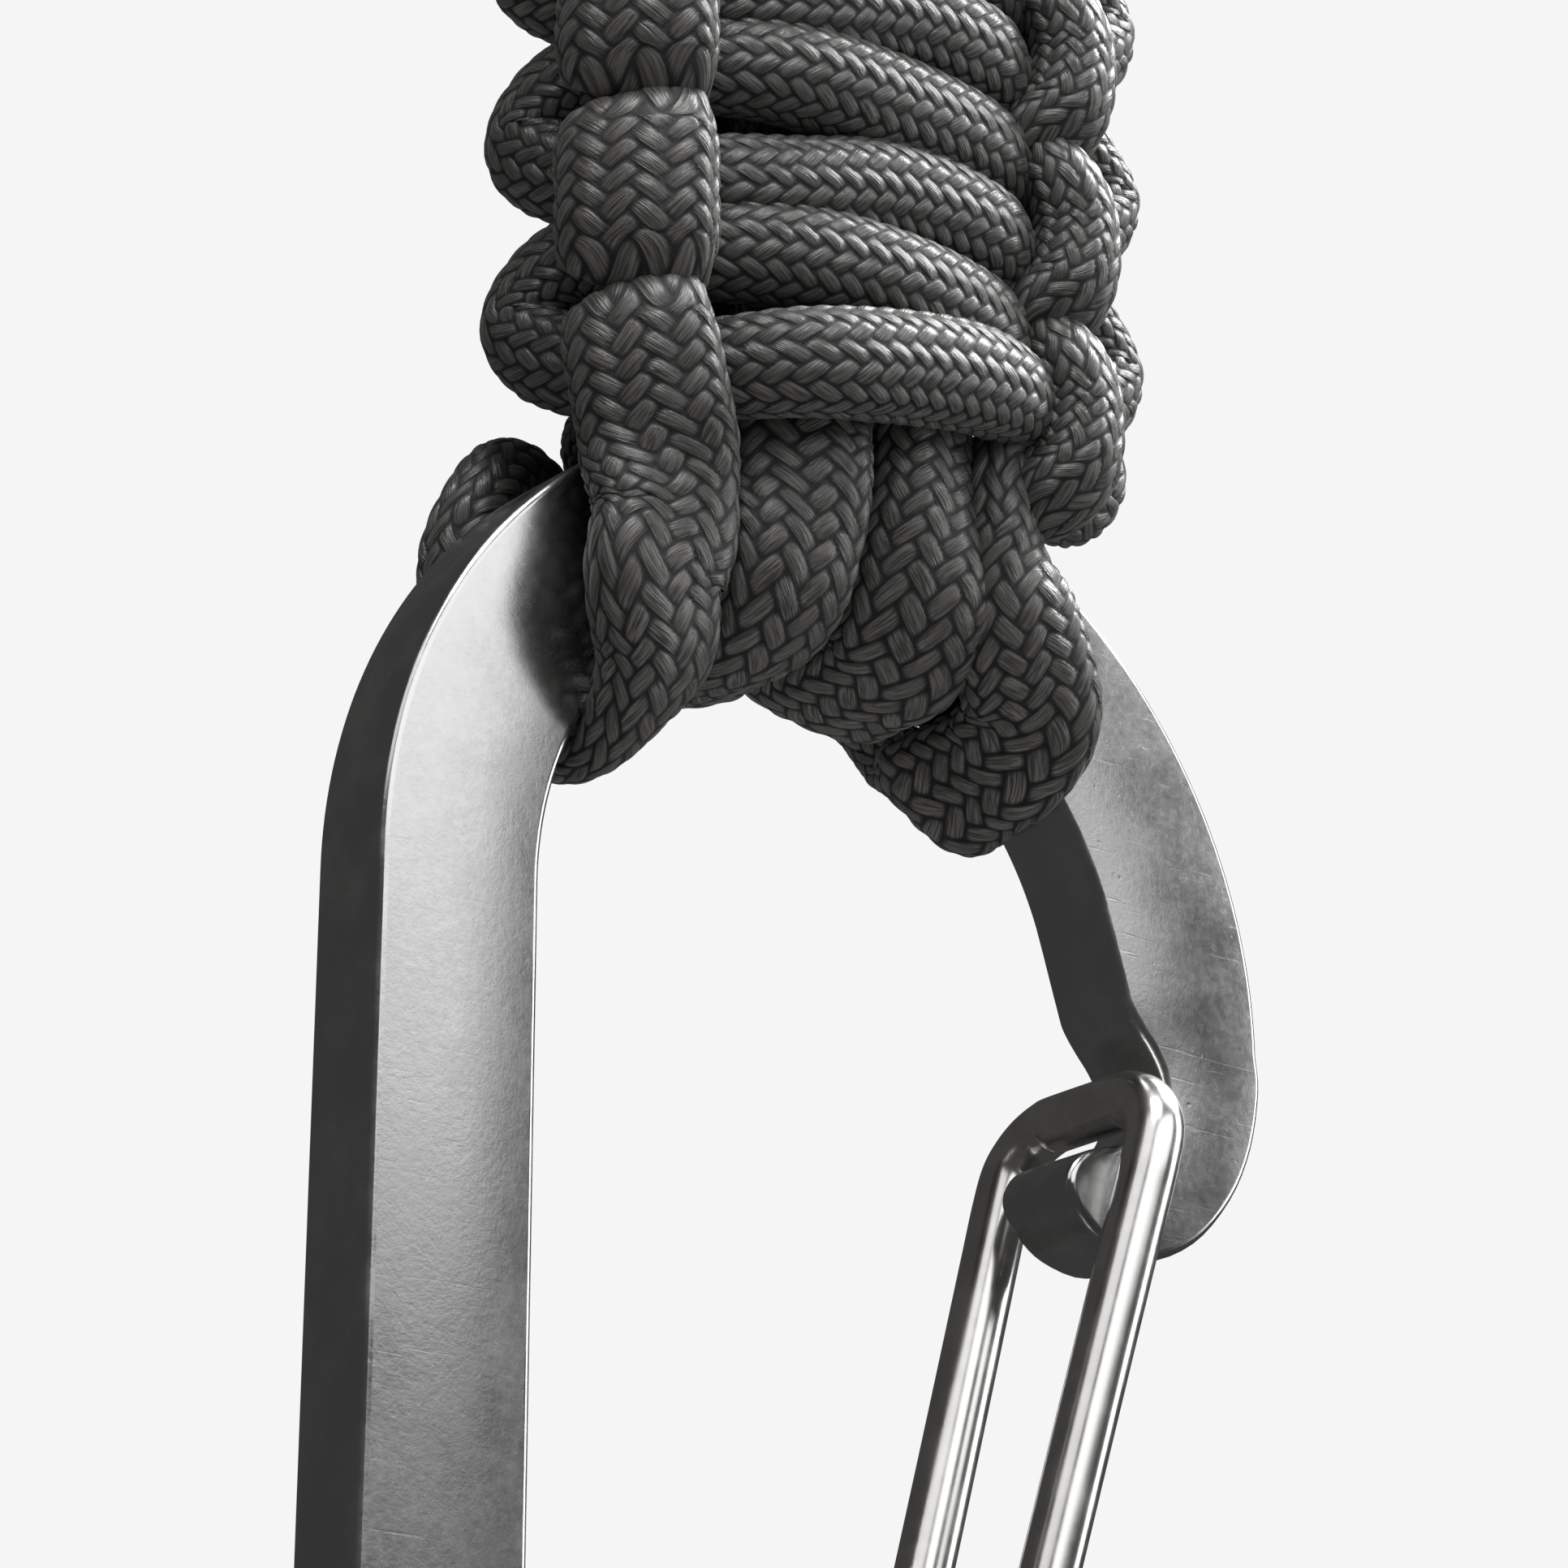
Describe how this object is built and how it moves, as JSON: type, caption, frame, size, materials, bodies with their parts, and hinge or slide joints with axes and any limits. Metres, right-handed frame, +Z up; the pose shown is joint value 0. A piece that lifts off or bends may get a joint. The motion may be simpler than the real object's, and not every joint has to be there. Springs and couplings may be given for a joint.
{
  "type": "carabiner on woven cord strap",
  "caption": "Wire-gate carabiner hung on a short strap of knotted braided cord with a split ring, for clipping keys or small gear to a bag or belt.",
  "frame": {"origin": "Top of the split ring's hole, where the ring hangs from a hook or pin.", "axes": "+Z up along the strap, X across the strap in the plane of the carabiner's loop with the spine towards -X and the gate towards +X, -Y out of the front face."},
  "size_m": [0.0428, 0.0192, 0.1611],
  "materials": {
    "satin_bar": "tumbled satin flat faces with fine scratches, polished edges",
    "bright_wire": "polished stainless wire",
    "ring_steel": "nickel-plated spring steel",
    "charcoal_cord": "braided nylon sheath, charcoal grey with a slight sheen",
    "fused_cord": "nylon melted to a hard dark bead"
  },
  "bodies": {
    "ring": {"key_ring": "ring_steel"},
    "strap": {"core_cord_left": "charcoal_cord", "core_cord_right": "charcoal_cord", "crossing_cord": "charcoal_cord", "edge_cord": "charcoal_cord", "melted_tip_front": "fused_cord", "melted_tip_rear": "fused_cord"},
    "carabiner": {"carabiner_body": "satin_bar"},
    "gate": {"gate_wire": "bright_wire"}
  },
  "joints": [
    {"name": "ring_swing", "type": "hinge", "parent": "ring", "child": "strap", "pos_m": [0, 0, -0.0232], "axis": [1, 0, 0], "range_deg": [-70, 70]},
    {"name": "neck_swing", "type": "hinge", "parent": "strap", "child": "carabiner", "pos_m": [0, 0, -0.0742], "axis": [1, 0, 0], "range_deg": [-20, 20], "deforming": ["core_cord_left", "core_cord_right", "crossing_cord", "edge_cord"]},
    {"name": "gate_hinge", "type": "hinge", "parent": "carabiner", "child": "gate", "pos_m": [0.00135, 0, -0.1446], "axis": [0, -1, 0], "range_deg": [0, 30], "stiffness_Nm_per_rad": 0.12, "springref_deg": -22.92}
  ]
}
